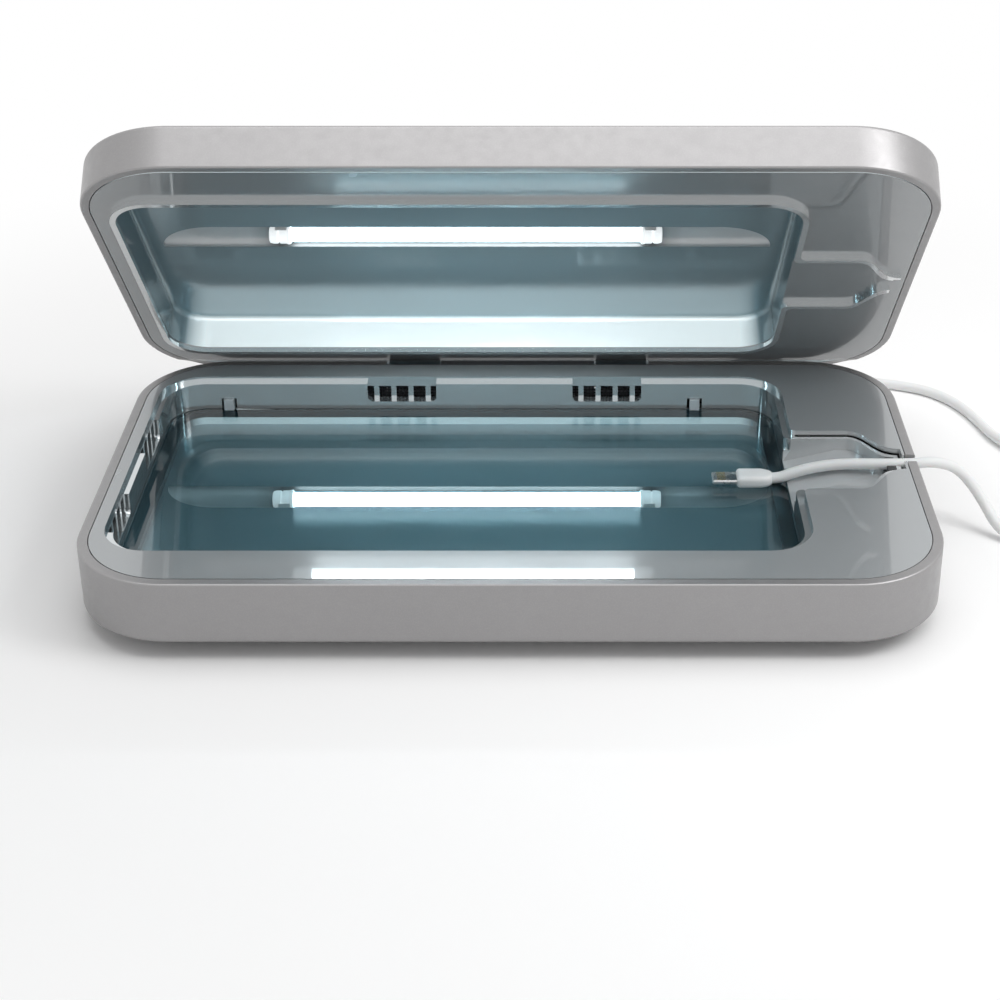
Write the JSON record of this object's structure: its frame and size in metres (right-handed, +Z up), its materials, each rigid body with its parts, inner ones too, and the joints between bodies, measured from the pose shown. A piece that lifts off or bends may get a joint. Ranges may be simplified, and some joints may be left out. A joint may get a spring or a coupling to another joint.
{
  "type": "uv sanitizer box for phones",
  "caption": "Clamshell box with mirror-lined base and lid, an ultraviolet tube in each, a clear phone plate, a friction-hinged lid and a white charging lead run out through a side slot.",
  "frame": {"origin": "middle of the underside pad, on the table", "axes": "+X to the user's right along the long side, +Y to the rear (hinge), +Z up"},
  "size_m": [0.3075, 0.1655, 0.1172],
  "materials": {
    "silver_plastic": "satin silver-grey",
    "mirror_liner": "bright vacuum-metallised plastic",
    "cover_plastic": "fine texture, mid grey",
    "pad_rubber": "matt black",
    "screw_steel": "plain",
    "clear_plastic": "clear acrylic",
    "white_plastic": "white moulding",
    "dark_mesh": "black",
    "lamp_glass": "frosted fused quartz",
    "board_green": "printed circuit board",
    "chip_black": "moulded component",
    "port_steel": "plated steel",
    "hinge_grey": "mid grey",
    "arm_grey": "dark grey",
    "window_smoke": "translucent light pipe",
    "lead_white": "white soft plastic"
  },
  "bodies": {
    "base": {"base_shell": "silver_plastic", "bottom_cover": "cover_plastic", "underside_pad": "pad_rubber", "cover_screws": "screw_steel", "base_liner": "mirror_liner", "clear_plate": "clear_plastic", "plate_clips": "white_plastic", "rear_vent_screens": "dark_mesh", "side_vent_screens": "dark_mesh", "cord_gasket": "pad_rubber", "base_lamp": "lamp_glass", "base_lamp_caps": "white_plastic", "base_lamp_holders": "white_plastic", "control_board": "board_green", "board_chips": "chip_black", "lamp_transformer": "chip_black", "port_board": "board_green", "board_screws": "screw_steel", "reed_sensor": "chip_black", "usb_a_socket": "port_steel", "usb_a_tongue": "chip_black", "usb_c_socket": "port_steel", "dc_inlet": "chip_black", "hinge_block": "hinge_grey", "hinge_friction_sleeve": "screw_steel", "hinge_block_screws": "screw_steel", "lead_coil": "lead_white", "lead_rear_run": "lead_white", "lead_front_run": "lead_white", "usb_plug_shell": "port_steel", "usb_plug_body": "lead_white", "phone_plug_grip": "lead_white", "phone_plug_tip": "port_steel"},
    "lid": {"hinge_pin": "screw_steel", "hinge_arm_left": "arm_grey", "hinge_arm_right": "arm_grey", "hinge_arm_screws": "screw_steel", "lid_shell": "silver_plastic", "lid_liner": "mirror_liner", "lid_lamp": "lamp_glass", "lid_lamp_caps": "white_plastic", "lid_lamp_holders": "white_plastic", "lid_magnet": "port_steel", "indicator_window": "window_smoke", "indicator_board": "board_green"}
  },
  "joints": [
    {"name": "lid_hinge", "type": "hinge", "parent": "base", "child": "lid", "pos_m": [0, 0.0592, 0.013], "axis": [1, 0, 0], "range_deg": [0, 48]}
  ]
}
